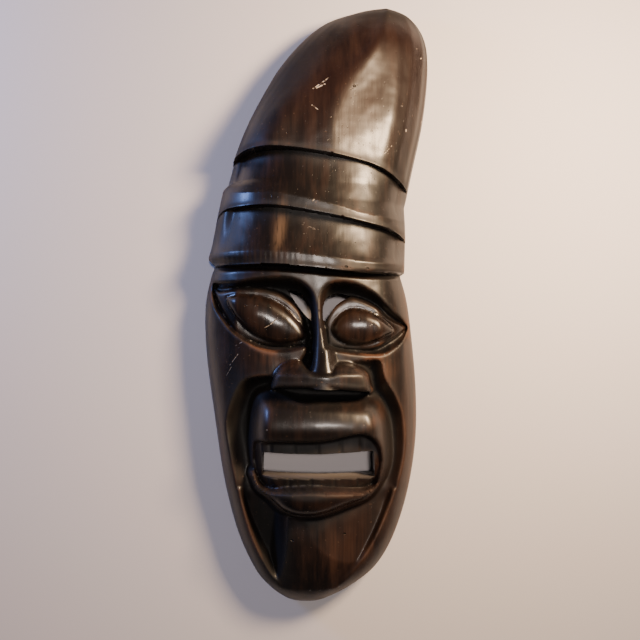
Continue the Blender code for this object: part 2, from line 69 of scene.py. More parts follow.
def smooth(points, steps=10):
    """Catmull-Rom: each span is a cubic whose direction at an end is the chord of that end's neighbours."""
    padded = np.vstack([2 * points[0] - points[1], points, 2 * points[-1] - points[-2]])
    a, b, c, d = (padded[k : len(padded) - 3 + k, None] for k in range(4))
    t = np.linspace(0.0, 1.0, steps, endpoint=False)[None, :, None]
    bend = (2 * a - 5 * b + 4 * c - d) * t**2 + (3 * b - a - 3 * c + d) * t**3
    line = 0.5 * (2 * b + (c - a) * t + bend)
    return np.vstack([line.reshape(-1, points.shape[1]), points[-1:]])


def curve(*points):
    """A smooth line through places on the face."""
    return smooth(plan(*points))


crown_left = curve(
    (63, 306.3), (47, 304.4), (27, 299), (-6, 284), (-40, 248), (-65, 203), (-82, 162), (-91, 131),
)
crown_right = curve(
    (73, 304.9), (90, 296), (103, 276), (107, 248), (102, 197), (91, 145), (86, 121), (83.3, 110),
)
band_left = curve((-96, 126), (-102, 98), (-107, 72), (-110, 60), (-107, 55))
band_right = curve((83.5, 106), (84.2, 92), (84.5, 77), (84, 60), (83.5, 46))
face_left = curve(
    (-104, 53), (-109, 37), (-113.5, 10), (-112, -35), (-104, -95), (-95, -155), (-82, -206), (-65, -244),
    (-50, -262), (-36, -272.5), (-24, -277.5),
)
face_right = curve(
    (79, 44), (86, 18), (91, -20), (95, -70), (94.5, -118), (87, -167), (74, -209), (58, -238), (38, -256),
    (18, -268), (2, -275), (-10, -278),
)
left_side = np.vstack([crown_left, band_left, face_left])
right_side = np.vstack([crown_right, band_right, face_right])
outline = np.vstack([left_side, right_side])
middle = (outline.min(axis=0) + outline.max(axis=0)) / 2

cone_edge = curve(
    (-89, 145), (-82, 153), (-67, 158), (-40, 158.8), (-5, 154.3), (48, 144.2), (76, 131), (90, 119),
)
band_ridge = curve(
    (-98, 122), (-63, 117), (-40, 116), (-5, 109), (22, 101.8), (39, 97), (67, 94.6), (86, 94.2),
)
band_edge = curve(
    (-103, 94), (-94, 103), (-80, 105.3), (-40, 104.7), (5, 97.2), (57, 87), (73, 82), (86, 75),
)
brim_ridge = curve((-109, 63), (-66, 63), (-36, 62.5), (-11, 59.8), (22, 55.3), (48, 52.5), (86, 52.2))
brim_edge = curve((-110, 52), (-80, 51.7), (-45, 51.1), (-11, 48.8), (22, 45.3), (48, 44), (86, 45))
side_strip = curve((-83, 151), (-88, 124), (-93, 98), (-98, 72), (-99, 58))
hat_edges = (cone_edge, band_ridge, band_edge, brim_ridge, brim_edge)

brow_left = curve(
    (-103, 36), (-78, 35), (-60, 37.8), (-38, 39.2), (-22, 36.8), (-12, 30.5), (-6, 20), (-3.8, -4),
    (-5, -36), (-7, -46),
)
brow_right = curve(
    (85, -6), (67, 9.7), (51, 24.6), (34, 33), (18, 35.2), (7, 32), (1.6, 23), (0.5, 8), (5.5, -25),
)
lower_lip_top = curve(
    (55, -146), (52, -155), (42, -159.5), (17, -157.5), (-8, -156.2), (-31, -157.6), (-48, -159.5),
    (-58, -154), (-61.5, -146),
)
lower_lip_foot = curve(
    (59, -146), (44, -163.5), (24, -170.5), (2, -178), (-17, -180), (-33, -176), (-47, -165),
    (-58, -158), (-64, -146),
)
nose_foot = curve((45.5, -65.5), (24, -63.2), (2.7, -61.6), (-18, -61.3), (-42.4, -61.9))
nose_shadow = curve((-43, -63.5), (-33, -71), (-18, -76.6), (3, -77), (24, -76.3), (38, -74.6), (46, -67))
wing_lines = (
    curve((-42.4, -61.3), (-40.5, -50), (-34, -40.5), (-24.5, -37.6), (-15, -40.5), (-7, -47)),
    curve((11, -48), (14, -42), (23, -40), (34, -43.5), (41.5, -50), (45.5, -64.5)),
)
rings = {
    "socket left": (
        brow_left,
        plan((-12, -46), (-18.5, -38.5), (-13.5, -31)),
        curve((-12.5, -24), (-32, -28), (-54, -26), (-79, -12.5), (-97, 7), (-103, 20), (-104.5, 31)),
    ),
    "socket right": (
        brow_right,
        curve((8.4, -25), (18, -28.5), (37, -31.3), (56, -32.5), (68, -28.3), (79, -20), (85, -9)),
    ),
    "lids left": (
        curve(
            (-104, 33), (-97, 27), (-80, 28.3), (-62, 29), (-45, 26.5), (-31, 19), (-19, 6.4), (-11.3, -15),
        ),
        curve((-13, -22.5), (-32, -24.5), (-56, -22), (-78, -11.6), (-92, 8), (-101, 25)),
    ),
    "lids right": (
        curve((84, -7), (66, 1), (52, 12), (36, 19.3), (26, 19.8), (15, 13.5), (8, 4.5), (5, -3)),
        curve((7.7, -23), (18, -26.2), (34, -28), (52, -26.2), (68, -18.2), (81, -10)),
    ),
    "eye left": (
        curve((-89, 21), (-74.5, 23.3), (-53, 21), (-33.3, 11.6), (-19.4, -2.3), (-14, -12.4)),
        curve(
            (-14.7, -17.9), (-33.3, -22.1), (-45.8, -20.6), (-57.5, -15.6), (-68.3, -8.6), (-77.6, 1.6),
            (-86.2, 13.2),
        ),
    ),
    "eye right": (
        curve(
            (10.9, -7.7), (15.5, 0.8), (23.3, 7.7), (30, 10.1), (38.8, 9.3), (48.2, 6.2), (59, 0), (68, -7),
        ),
        curve(
            (71, -10.5), (60.5, -15.6), (45, -22.1), (34.2, -23.7), (24, -22.5), (16.3, -17.9),
            (11.6, -12.4),
        ),
    ),
    "bridge": (
        curve((-7, 18), (-4, 0), (-4, -14), (-5, -30), (-6.8, -44), (-8, -51), (-14, -61.2)),
        curve((19, -62.8), (13.5, -53), (10.5, -46), (8.6, -36), (6.2, -20), (3.4, -4), (2.2, 18)),
    ),
    "nose": (*wing_lines, nose_foot),
    "under nose": (nose_foot, nose_shadow),
    "cheeks": (
        curve(
            (-40, -52), (-60, -52.5), (-75, -61.3), (-88.5, -94), (-85, -129), (-73, -182), (-58, -222),
            (-38, -258),
        ),
        curve(
            (16, -258), (45, -221), (68, -172), (79.5, -128), (79, -94), (71.7, -73), (61, -55), (57, -39),
            (50, -36),
        ),
    ),
    "muzzle": (
        curve((-50, -171), (-61, -158), (-65.5, -125), (-65.5, -88), (-62, -70), (-52, -62.5), (-42, -61)),
        curve((46, -66.5), (57, -75), (63.5, -91), (66.2, -114), (66, -138), (60, -155), (44, -169)),
        curve((24, -176), (2, -183), (-18, -185), (-36, -180)),
    ),
    "mouth": (
        curve(
            (-64, -131), (-61, -113.5), (-44, -110.5), (-10, -110.4), (8, -108.6), (34, -103.2), (47, -106.5),
            (55, -117), (57.6, -131),
        ),
        lower_lip_top,
    ),
    "lower lip": (lower_lip_top[::-1], lower_lip_foot),
}
rings = {name: np.vstack(parts) for name, parts in rings.items()}
upper_teeth = np.array((-46, -23.6, -2.2, 19.4, 38.5)) * share
lower_teeth = np.array((-48, -28.8, -8.3, 13.6, 34.8, 48.3)) * share
mouth_slot = np.array((0.1085, 0.0252))
mouth_middle = plan((-1.8, -133.4))[0]


def closest(x, y, line, closed):
    """Distance to a line, the nearest place on it, and whether a ring holds the point.

    Each straight stretch is tried in turn: the point is dropped onto it, and the shortest
    drop is kept. A ring holds a point if a ray from it crosses the ring an odd number of times.
    """
    best = np.full(x.shape, np.inf)
    near_x, near_y = x.copy(), y.copy()
    inside = np.zeros(x.shape, bool)
    ends = np.roll(line, -1, axis=0) if closed else line[1:]
    for (ax, ay), (bx, by) in zip(line, ends):
        dx, dy = bx - ax, by - ay
        length = dx * dx + dy * dy
        if length < 1e-16:
            continue
        t = np.clip(((x - ax) * dx + (y - ay) * dy) / length, 0.0, 1.0)
        qx, qy = ax + t * dx, ay + t * dy
        gap = np.hypot(x - qx, y - qy)
        closer = gap < best
        best = np.where(closer, gap, best)
        near_x = np.where(closer, qx, near_x)
        near_y = np.where(closer, qy, near_y)
        if closed and ay != by:
            inside ^= ((ay > y) != (by > y)) & (x < ax + dx * (y - ay) / dy)
    return best, near_x, near_y, inside


def depth_in(x, y, line, closed=True):
    """Signed distance to a ring: positive inside it, negative outside, and worked out only near it.

    Of an open line it is the distance, made negative. Far away it is minus one metre.
    """
    margin = 34 * share
    low, high = line.min(axis=0) - margin, line.max(axis=0) + margin
    near = (x > low[0]) & (x < high[0]) & (y > low[1]) & (y < high[1])
    gap, _, _, inside = closest(x[near], y[near], line, closed)
    depth = np.full(x.shape, -1.0)
    depth[near] = np.where(inside | (gap < 1e-7), gap, -gap)
    return depth


def raise_to(z, depth, top, slope):
    """Inside the ring the height is the top; outside it falls from the top by slope times the distance."""
    return np.where(depth >= 0, top, np.maximum(z, top + depth * slope))


def cut_to(z, depth, floor, slope):
    """Inside the ring the height falls by slope times the depth, down to the floor."""
    return np.where(depth <= 0, z, np.maximum(np.minimum(floor, z), z - depth * slope))


def swell(depth, reach):
    """A quarter circle: 0 at the edge, 1 where the depth is the reach."""
    t = 1.0 - np.clip(depth / reach, 0.0, 1.0)
    return np.sqrt(1.0 - t * t)


def blend(t):
    """Smooth step from 0 to 1: three t squared less two t cubed."""
    t = np.clip(t, 0.0, 1.0)
    return t * t * (3 - 2 * t)


def along(y, *knots):
    """A smooth value along the mask, through (place in shares, value) pairs."""
    line = smooth(np.array([(place * share, value) for place, value in knots]))
    return np.interp(y, line[:, 0], line[:, 1])


def across_share(x, y):
    """-1 at the left outline, 0 half-way, 1 at the right outline."""
    low = np.interp(-y, -left_side[:, 1], left_side[:, 0])
    high = np.interp(-y, -right_side[:, 1], right_side[:, 0])
    return np.clip((2 * x - low - high) / np.maximum(high - low, share), -1.0, 1.0)


def crest_height(y):
    """The block's height along its middle: low at the chin, level over the face, low at the crown's tip."""
    chin = [(-279, 0.2), (-276, 0.36), (-270, 0.56), (-250, 0.82), (-215, 1.0), (-180, 1.05)]
    face = [(-120, 1.03), (-40, 1.0), (50, 1.0)]
    crown = [(152, 1.0), (215, 0.92), (260, 0.79), (290, 0.56), (300, 0.42), (304.5, 0.31), (307, 0.18)]
    knots = [(place, part * chin_height) for place, part in chin]
    knots += [(place, part * forehead_height) for place, part in face]
    knots += [(place, part * crown_height) for place, part in crown]
    return along(y, *knots)


def carve_mouth(z, x, y, body, depth):
    """The field between the cheeks is scooped, and the chin has a keel with a steep left side.

    The muzzle stands in the field with bevelled sides. The teeth are set back between the lips,
    with a V groove between two teeth. The lower lip has a sharp upper edge, and falls to its
    foot as a quarter circle.
    """
    inward = np.maximum(depth["cheeks"], 0.0)
    reach = np.clip(inward + np.maximum(-depth["muzzle"], 0.0), share, 15 * share)
    outer = np.maximum(np.abs(x) - 42 * share, 0.0)
    floor = np.minimum(channel_height - 0.26 * outer, body - 0.009)
    channel = body - (body - floor) * (1 - (1 - np.clip(inward / reach, 0.0, 1.0)) ** 1.8)
    keel = x + 28.5 * share
    left_floor = np.clip(0.68 * chin_height - 0.2 * (-160 * share - y), 0.46 * chin_height, chin_height)
    left = np.maximum(chin_height + 1.5 * np.minimum(keel, 0.0), left_floor)
    right = chin_height * (1 - 0.34 * np.clip(keel / (88 * share), 0.0, 1.0) ** 1.6)
    chin = np.minimum(np.where(keel < 0, left, right), body - 0.003)
    low = blend((-150 * share - y) / (24 * share))
    field = channel + (chin - channel) * low
    held = blend(inward / (5 * share)) * blend((y + 266 * share) / (30 * share))
    z = np.where(y < -160 * share, body + (field - body) * held, np.where(inward > 0, field, body))

    aside = np.clip(np.abs(x - mouth_middle[0]) / (64 * share), 0.0, 1.2)
    levels = [(-190, 0.55), (-172, 0.68), (-152, 0.84), (-112, 0.96), (-98, 1.0), (-84, 0.95)]
    levels += [(-72, 0.84), (-58, 0.74)]
    muzzle = lip_height * (along(y, *levels) - 0.09 * aside**2)
    side = lip_height * along(y, (-190, 0.3), (-160, 0.42), (-130, 0.54), (-58, 0.54))
    bevel = np.clip(depth["muzzle"] / (21 * share), 0.0, 1.0)
    muzzle = side + (muzzle - side) * (1 - (1 - bevel) ** 2.1)
    z = raise_to(z, depth["muzzle"], np.maximum(muzzle, z), 3.0)

    from_lip = np.clip(depth["mouth"] / (11 * share), 0.0, 1.0)
    teeth = lip_height - teeth_depth - 0.07 * lip_height * aside**2
    above = y > mouth_middle[1]
    teeth = np.where(above, teeth - 0.003, teeth - 0.003 + 0.005 * from_lip)
    z = cut_to(z, depth["mouth"], np.minimum(teeth, z - 0.008), 5.0)
    for dividers, row in ((upper_teeth, above), (lower_teeth, ~above)):
        gap = np.abs(x[..., None] - dividers).min(axis=-1)
        groove = groove_depth * np.clip(1.0 - gap / (groove_width / 2), 0.0, 1.0)
        z = np.where((depth["mouth"] > 0) & row, z - groove, z)
    roundness = swell(-depth_in(x, y, lower_lip_foot, False), 18 * share)
    lip = lip_height * (0.95 - 0.2 * aside**2 - 0.18 * (1 - roundness))
    return raise_to(z, depth["lower lip"], lip, np.where(depth["mouth"] > 0, 14.0, 3.0))


def carve_nose(z, x, y, depth):
    """A narrow ridge rises to the tip and rounds off as the square of the distance from its middle.

    The wings beside it have a bevelled top, and a wedge is cut in under them.
    """
    levels = [(-64, 1.0), (-45, 0.95), (-25, 0.87), (0, 0.79), (18, 0.75)]
    bridge = nose_height * along(y, *levels)
    bridge = bridge - (x - 3 * share) ** 2 / (27 * share)
    foot_gap = -depth_in(x, y, nose_shadow, False)
    undercut = np.minimum(z, 0.85 * lip_height) - 2.4 * foot_gap
    below = depth["under nose"] > 1e-7
    z = np.where(depth["under nose"] > 0, np.maximum(undercut, 0.56 * lip_height), z)
    aside = np.clip(np.abs(x - 3 * share) / (44 * share), 0.0, 1.0)
    wings = nose_height * (0.985 - 0.1 * aside**1.6 - 0.05 * (1 - swell(depth["nose"], 4 * share)))
    wings = wings - 1.1 * np.maximum(y + 49.5 * share, 0.0)
    z = np.where(below, z, raise_to(z, depth["nose"], np.maximum(wings, z), 5.0))
    beside = np.where(below, z, np.maximum(z, bridge + depth["bridge"] * 1.6))
    return np.where(depth["bridge"] >= 0, np.maximum(bridge, z), beside)


def carve_eyes(z, x, y, body, depth):
    """Each socket is scooped towards its floor, and the lids stand in it as a narrow band.

    The eye swells inside a fine V groove: half by a quarter circle of its depth, half as an oval bowl.
    """
    ovals = (("left", (-52, 1.5), (43, 20), -0.5), ("right", (40, -7), (33, 18), -0.08))
    for side, centre, radii, turn in ovals:
        socket, lids, eye = (depth[f"{name} {side}"] for name in ("socket", "lids", "eye"))
        beyond = np.clip(socket + np.maximum(-lids, 0.0), share, 12 * share)
        floor = np.minimum(socket_height, body - 0.012)
        scoop = 1 - (1 - np.clip(socket / beyond, 0.0, 1.0)) ** 2.6
        z = np.where(socket > 0, z - (z - floor) * scoop, z)
        rim = np.minimum(lid_height, body - 0.005)
        crest = rim - 0.0015 * (1 - swell(lids, 3 * share))
        z = np.where(socket > 0, raise_to(z, lids, crest, 4.0), z)
        dx, dy = x - centre[0] * share, y - centre[1] * share
        u = (dx * np.cos(turn) + dy * np.sin(turn)) / (radii[0] * share)
        v = (dy * np.cos(turn) - dx * np.sin(turn)) / (radii[1] * share)
        bowl = np.clip(1 - u * u - v * v, 0.0, 1.0)
        dome = rim - 0.0005 + (eye_height - lid_height) * (0.45 * swell(eye, 8 * share) + 0.55 * bowl)
        z = np.where((lids > 0) & (eye > 0), dome, z)
        seam = groove_depth * np.clip(1.0 - np.abs(eye) / (groove_width / 2), 0.0, 1.0)
        z = np.where(lids > 0, z - seam, z)
    return z


def carve_hat(z, x, y, across, dome):
    """Two bands are scooped, deepest under the edge above, and end in a narrow raised strip.

    The cone over them has four planes: a steep left one up to a slanting edge, a narrow one,
    a broad one that falls to the right, and a steep right one. Their edges are rounded, by a
    weighted mean of the planes a little to either side. The band's height is level across
    and falls at both outlines.
    """
    cone, ridge, edge, low_ridge, brim = [np.interp(x, line[:, 0], line[:, 1]) for line in hat_edges]
    strip_x = np.interp(-y, -side_strip[:, 1], side_strip[:, 0])
    inner = 0.35 + 0.65 * blend((x - strip_x) / (12 * share))
    inner = inner * np.clip(1.8 * dome, 0.0, 1.0)
    bands = rim_height + (crown_height - rim_height) * dome
    for top, foot in ((cone, ridge), (edge, low_ridge)):
        t = np.clip((top - y) / np.maximum(top - foot, share), 0.0, 1.0)
        scoop = (y < top - 1e-7) & (y > foot)
        bands = np.where(scoop, bands - band_depth * (1 - t**1.6) * inner, bands)
    z = np.where((y > brim - 1e-7) & (y < cone - 1e-7), bands, z)
    under = np.clip(1 - (brim - y) / (6 * share), 0.0, 1.0) * np.clip(1.2 * dome, 0.0, 1.0)
    z = np.where(y <= brim - 1e-7, z - brim_undercut * under, z)

    first = along(
        y, (150, -0.6), (183, -0.54), (203, -0.42), (217, -0.28), (239, -0.06), (262, 0.1), (308, 0.15),
    )
    second = along(y, (150, 0.08), (190, -0.02), (220, 0.04), (248, 0.19), (275, 0.27), (308, 0.3))
    third = along(y, (150, 0.62), (200, 0.6), (239, 0.56), (308, 0.55))
    steep = (0, 0.025, 0.05, 0.1, 0.16, 0.28, 0.4, 0.58, 0.75, 1)
    rise = (0, 0.2, 0.34, 0.47, 0.55, 0.66, 0.74, 0.83, 0.89, 0.94)
    planes = 0
    for shift, weight in ((-0.08, 0.12), (-0.04, 0.23), (0.0, 0.3), (0.04, 0.23), (0.08, 0.12)):
        a = across + shift * (1 - across**2)
        left = np.interp((a + 1) / (first + 1), steep, rise)
        right = np.interp((1 - a) / (1 - third), (0, 0.08, 0.25, 0.6, 1), (0, 0.3, 0.47, 0.66, 0.8))
        narrow = 0.94 + 0.06 * (a - first) / (second - first)
        broad = 1 - 0.2 * (a - second) / (third - second)
        planes += weight * np.select([a < first, a < second, a < third], [left, narrow, broad], right)
    return np.where(y >= cone - 1e-7, rim_height + (crest_height(y) - rim_height) * planes, z)


def relief(x, y):
    """Height of the carved front: the domed block, then each cut in the order it is made.

    The dome is the square root of one less the 2.6th power of the share of the way across.
    """
    across = across_share(x, y)
    dome = (1 - np.abs(across) ** 2.6) ** 0.5
    body = rim_height + (crest_height(y) - rim_height) * dome
    depth = {name: depth_in(x, y, line) for name, line in rings.items()}
    z = carve_mouth(body, x, y, body, depth)
    z = carve_nose(z, x, y, depth)
    z = carve_eyes(z, x, y, body, depth)
    z = carve_hat(z, x, y, across, dome)
    return np.maximum(z, rim_height)


cell = 0.00125


def outline_grid():
    """Rows of points from the left outline to the right one: row and column are the two parameters.

    Rows are a cell apart along the outline, and up to twice that towards the crown's tip.
    Columns crowd a little towards the outline.
    """
    parts = ((crown_left, crown_right, 0.45), (band_left, band_right, 0.0), (face_left, face_right, 0.0))
    ends = {0: [], 1: []}
    for left, right, crowding in parts:
        steps = np.linalg.norm(np.diff(left, axis=0), axis=1)
        t = np.linspace(0.0, 1.0, int(np.ceil(steps.sum() / cell / (1 + 0.55 * crowding))))
        t = t * (1 + crowding) - crowding * t * t
        for side, line in enumerate((left, right)):
            walk = np.append(0.0, np.cumsum(np.linalg.norm(np.diff(line, axis=0), axis=1)))
            ends[side].append(np.column_stack([np.interp(t * walk[-1], walk, line[:, k]) for k in (0, 1)]))
    left, right = (np.vstack(ends[side]) for side in (0, 1))
    t = np.linspace(-1.0, 1.0, 2 * int(mask_height * 0.19 / cell) + 1)
    weight = (t * (1.22 - 0.22 * t * t) + 1) / 2
    x = left[:, :1] * (1 - weight) + right[:, :1] * weight
    y = left[:, 1:] * (1 - weight) + right[:, 1:] * weight
    return x, y


def slide_to_lines(x, y):
    """Each inner point within half a cell of a cut line moves to the nearest place on it.

    The points between then move half-way towards the mean of their four neighbours, a few
    times over, so that the cells along a line stay even.
    """
    wide = np.abs(np.gradient(x, axis=1))
    tall = np.maximum(np.abs(np.gradient(y, axis=0)), 0.3 * cell)
    free = np.ones(x.shape, bool)
    free[:, 0] = free[:, -1] = free[0] = free[-1] = False
    lines = [(line, False) for line in (*hat_edges, side_strip)] + [(line, True) for line in rings.values()]
    for line, closed in lines:
        low, high = line.min(axis=0) - 2 * cell, line.max(axis=0) + 2 * cell
        near = (x > low[0]) & (x < high[0]) & (y > low[1]) & (y < high[1])
        near_x, near_y = np.full(x.shape, np.inf), np.full(x.shape, np.inf)
        _, near_x[near], near_y[near], _ = closest(x[near], y[near], line, closed)
        moved = free & (np.abs(near_x - x) < 0.54 * wide) & (np.abs(near_y - y) < 0.54 * tall)
        x = np.where(moved, near_x, x)
        y = np.where(moved, near_y, y)
        free &= ~moved
    inner = free[1:-1, 1:-1]
    for _ in range(5):
        for values in (x, y):
            mean = (values[:-2, 1:-1] + values[2:, 1:-1] + values[1:-1, :-2] + values[1:-1, 2:]) / 4
            values[1:-1, 1:-1] = np.where(inner, (values[1:-1, 1:-1] + mean) / 2, values[1:-1, 1:-1])
    return x, y


map_step = 0.0008
map_x = np.arange(outline[:, 0].min(), outline[:, 0].max() + map_step, map_step)
map_y = np.arange(outline[:, 1].min(), outline[:, 1].max() + map_step, map_step)
cut_heights = relief(*np.meshgrid(map_x, map_y))


def blurred(field, reach):
    """The field's mean round each place, weighted by a bell of that reach, by way of its spectrum."""
    pad = int(3 * reach / map_step)
    wide = np.pad(field, pad, mode="edge")
    turns_y = np.fft.fftfreq(wide.shape[0], map_step)[:, None]
    turns_x = np.fft.rfftfreq(wide.shape[1], map_step)[None]
    bell = np.exp(-2 * (np.pi * reach) ** 2 * (turns_x**2 + turns_y**2))
    soft = np.fft.irfft2(np.fft.rfft2(wide) * bell, s=wide.shape)
    return soft[pad:-pad, pad:-pad]


def sampled(field, x, y):
    """The map's value at each point, weighted between its four nearest places."""
    column = np.clip((x - map_x[0]) / map_step, 0, len(map_x) - 1.001)
    row = np.clip((y - map_y[0]) / map_step, 0, len(map_y) - 1.001)
    i, j = row.astype(int), column.astype(int)
    v, u = row - i, column - j
    low = field[i, j] * (1 - u) + field[i, j + 1] * u
    high = field[i + 1, j] * (1 - u) + field[i + 1, j + 1] * u
    return low * (1 - v) + high * v


def hand_waves(reach, depth, seed):
    """The small rise and fall that a hand plane leaves: seeded noise, blurred, at a given depth."""
    waves = blurred(np.random.default_rng(seed).normal(size=cut_heights.shape), reach)
    return depth * waves / waves.std()


broad_waves = hand_waves(reach=0.008, depth=0.0002, seed=5)
fine_waves = hand_waves(reach=0.0028, depth=0.00005, seed=6)
waves = broad_waves + fine_waves
heights = blurred(cut_heights, reach=0.0009)


def mesh_object(name, points, *groups):
    """A mesh object from an array of points and groups of faces, each with one number of corners."""
    groups = [np.atleast_2d(group) for group in groups]
    corners = np.concatenate([group.ravel() for group in groups])
    sizes = np.concatenate([np.full(len(group), group.shape[1]) for group in groups])
    mesh = bpy.data.meshes.new(name)
    mesh.vertices.add(len(points))
    mesh.vertices.foreach_set("co", points.astype(np.float32).reshape(-1))
    mesh.loops.add(len(corners))
    mesh.loops.foreach_set("vertex_index", corners.astype(np.int32))
    mesh.polygons.add(len(sizes))
    mesh.polygons.foreach_set("loop_start", np.append(0, np.cumsum(sizes)[:-1]).astype(np.int32))
    mesh.update(calc_edges=True)
    made = bpy.data.objects.new(name, mesh)
    bpy.context.scene.collection.objects.link(made)
    return made


def block():
    """The closed block: a height over the grid, an upright rim and a flat back.

    The height is read from the softened map, and worked out afresh where the carving is
    crisp: at the rim, at the nose's foot and on the hat. Each cell is split along the diagonal
    whose two ends differ least in height, so a split never crosses a cut line.
    """
    x, y = slide_to_lines(*outline_grid())
    brim = np.interp(x, brim_edge[:, 0], brim_edge[:, 1])
    at_rim = np.clip((np.abs(across_share(x, y)) - 0.9) / 0.07, 0.0, 1.0)
    at_foot = -depth_in(x, y, nose_foot, False) < 2.5 * share
    crisp = np.maximum(np.maximum(at_rim, at_foot), y > brim - 9 * share)
    z = sampled(heights, x, y) * (1 - crisp) + relief(x, y) * crisp + sampled(waves, x, y) * (1 - at_rim)
    rows, columns = x.shape
    front = np.column_stack([x.ravel() - middle[0], y.ravel() - middle[1], z.ravel()])
    index = np.arange(rows * columns).reshape(rows, columns)
    around = np.concatenate([index[:, 0], index[-1, 1:], index[-2::-1, -1], index[0, -2:0:-1]])
    back = front[around] * (1, 1, 0)
    a, b, c, d = index[:-1, :-1], index[1:, :-1], index[1:, 1:], index[:-1, 1:]
    height = z.ravel()
    first = (np.abs(height[a] - height[c]) <= np.abs(height[b] - height[d]))[..., None]
    one = np.where(first, np.stack([a, b, c], -1), np.stack([a, b, d], -1))
    two = np.where(first, np.stack([a, c, d], -1), np.stack([b, c, d], -1))
    triangles = np.vstack([one.reshape(-1, 3), two.reshape(-1, 3)])
    base = len(front) + np.arange(len(around))
    quads = np.column_stack([around, base, np.roll(base, -1), np.roll(around, -1)])
    return mesh_object("mask_carving", np.vstack([front, back]), triangles, quads, base[::-1])


hollow_depth = 0.041
hollow_rim = 0.018
hollow_length = 0.338
hollow_middle = plan((-8, -101))[0]


def vault():
    """The hollow's cutter: rings shrink from the rim to the roof as the cosine of a quarter turn,
    and rise as its sine. Each ring is as wide as the mask is there, less the rim."""
    turns, levels = 96, 22
    angle = np.arange(turns) * 2 * np.pi / turns
    t = np.append([0.0], np.linspace(0.0, 1.0, levels, endpoint=False))[:, None]
    spread = np.cos(t * np.pi / 2) ** 0.8
    height = hollow_depth * np.sin(t * np.pi / 2)
    height[0] = -0.1 * hollow_depth
    away = spread * hollow_length / 2 * np.sin(angle)
    wide_at = hollow_middle[1] + 0.8 * away
    low = np.interp(-wide_at, -left_side[:, 1], left_side[:, 0])
    high = np.interp(-wide_at, -right_side[:, 1], right_side[:, 0])
    bend = np.sign(np.cos(angle)) * np.abs(np.cos(angle)) ** 0.8
    x = (low + high) / 2 + spread * ((high - low) / 2 - hollow_rim) * bend
    y = hollow_middle[1] + away
    points = np.column_stack([x.ravel(), y.ravel(), np.broadcast_to(height, x.shape).ravel()])
    points = np.vstack([points, [*hollow_middle, hollow_depth]]) - [*middle, 0]
    index = np.arange(x.size).reshape(x.shape)
    after = np.roll(index, -1, axis=1)
    quads = np.stack([index[:-1], after[:-1], after[1:], index[1:]], -1).reshape(-1, 4)
    tip = np.full(turns, len(points) - 1)
    cap = np.column_stack([index[-1], after[-1], tip])
    return mesh_object("hollow_cutter", points, cap, quads, index[0, ::-1])


def prism(name, ring):
    """An upright cutter on an outline, running out past the back and the front."""
    after = np.roll(ring, -1, axis=0)
    if (ring[:, 0] * after[:, 1] - after[:, 0] * ring[:, 1]).sum() < 0:
        ring = ring[::-1]
    count = len(ring)
    low = np.column_stack([ring - middle, np.full(count, -0.2 * nose_height)])
    index = np.arange(count)
    after = np.roll(index, -1)
    quads = np.column_stack([index, after, count + after, count + index])
    points = np.vstack([low, low + [0, 0, 1.4 * nose_height]])
    return mesh_object(name, points, quads, index[::-1], count + index)


slot_left = np.vstack([
    curve((-31.5, 29), (-24, 28.3), (-15, 22.2), (-9.4, 12), (-8, -1)),
    curve((-12, 2.2), (-18.7, 9.9), (-26, 20)),
])
slot_right = np.vstack([
    curve((29, 22.4), (22, 25), (14, 25), (7, 21.5), (3, 13), (2.8, 1), (5, -1.2)),
    curve((10.1, 6.9), (15.9, 14.1), (21.8, 18.5)),
])
mouth_corners = np.array((  # in halves of the slot's length and height
    (-1, -0.98), (0, -1.07), (1, -1.04), (0.98, 1), (0.5, 0.86), (0, 0.76), (-0.5, 0.78), (-0.98, 0.9),
))
cutters = [
    vault(),
    prism("mouth_cutter", mouth_middle + mouth_corners * mouth_slot / 2),
    prism("slot_cutter_left", slot_left),
    prism("slot_cutter_right", slot_right),
]
mask = block()
for cutter in cutters:
    cut = mask.modifiers.new(cutter.name, "BOOLEAN")
    cut.operation = "DIFFERENCE"
    cut.solver = "EXACT"
    cut.object = cutter
carved = bpy.data.meshes.new_from_object(mask.evaluated_get(bpy.context.evaluated_depsgraph_get()))
mask.modifiers.clear()
mask.data = carved
carved.name = "mask_carving"
for cutter in cutters:
    bpy.data.objects.remove(cutter, do_unlink=True)

# Where the lacquer is rubbed, and where shade is painted in, worked out from the carved heights:
# an edge stands above the mean height round it, and a hollow lies below it and gets painted shade.
# Single places have a middle, two radii and a turn in degrees, most of them after a strength.


def spot(x, y, place, size, turn=0.0):
    """A soft oval spot: a bell of the turned distance, measured in its two radii."""
    dx, dy = x - place[0] * share, y - place[1] * share
    c, s = np.cos(np.radians(turn)), np.sin(np.radians(turn))
    u, v = (dx * c + dy * s) / (size[0] * share), (dy * c - dx * s) / (size[1] * share)
    return np.exp(-(u * u + v * v) ** 1.3)


def paint(mesh, name, values):
    """Stores one number for each point of the mesh, held between 0 and 1."""
    layer = mesh.attributes.new(name, "FLOAT", "POINT")
    layer.data.foreach_set("value", np.clip(values, 0, 1).astype(np.float32))


